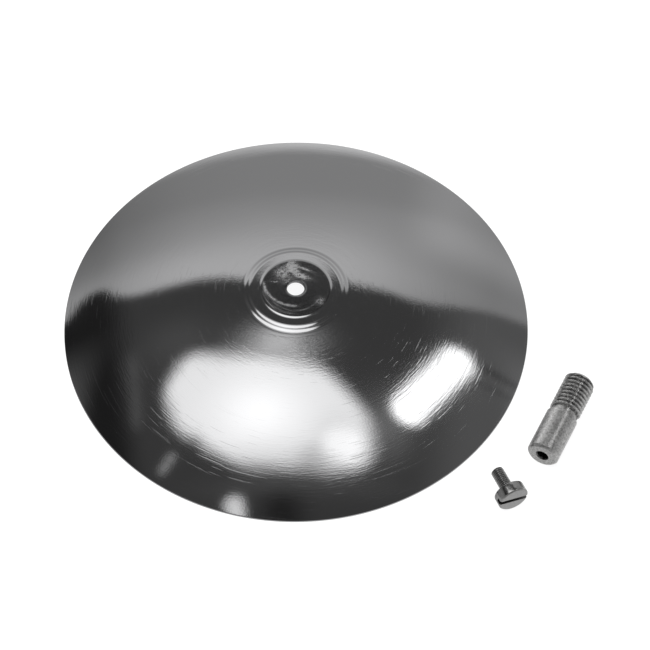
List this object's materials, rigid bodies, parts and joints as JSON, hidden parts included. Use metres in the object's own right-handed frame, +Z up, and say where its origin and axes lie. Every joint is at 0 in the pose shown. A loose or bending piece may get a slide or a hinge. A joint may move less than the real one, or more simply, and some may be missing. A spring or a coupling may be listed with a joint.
{
  "type": "air filter cover",
  "caption": "Round spun-metal air filter cover with a stepped hub, shown with its loose threaded mounting stud and slotted cover screw.",
  "frame": {"origin": "centre of the cover's rim plane, which is the plane that the cover, the stud and the screw lie on", "axes": "+Z up along the cover's axis, from the rim to the hub; +X and +Y lie in the rim plane, with the stud and the screw on the +X, -Y side"},
  "size_m": [0.2013, 0.178, 0.0237],
  "materials": {
    "polished_cover": "mirror polished, with fine circular spinning and buffing marks; satin and scuffed on the hub seat",
    "plated_stud": "bright zinc plate, turned, satin",
    "plated_screw": "dull nickel plate, turned"
  },
  "bodies": {
    "cover": {"filter_cover": "polished_cover"},
    "stud": {"mounting_stud": "plated_stud"},
    "screw": {"cover_screw": "plated_screw"}
  },
  "joints": [
    {"name": "stud_lift", "type": "slide", "parent": "cover", "child": "stud", "axis": [0, 0, 1], "range_m": [0, 0.06]},
    {"name": "screw_lift", "type": "slide", "parent": "cover", "child": "screw", "axis": [0, 0, 1], "range_m": [0, 0.06]}
  ]
}
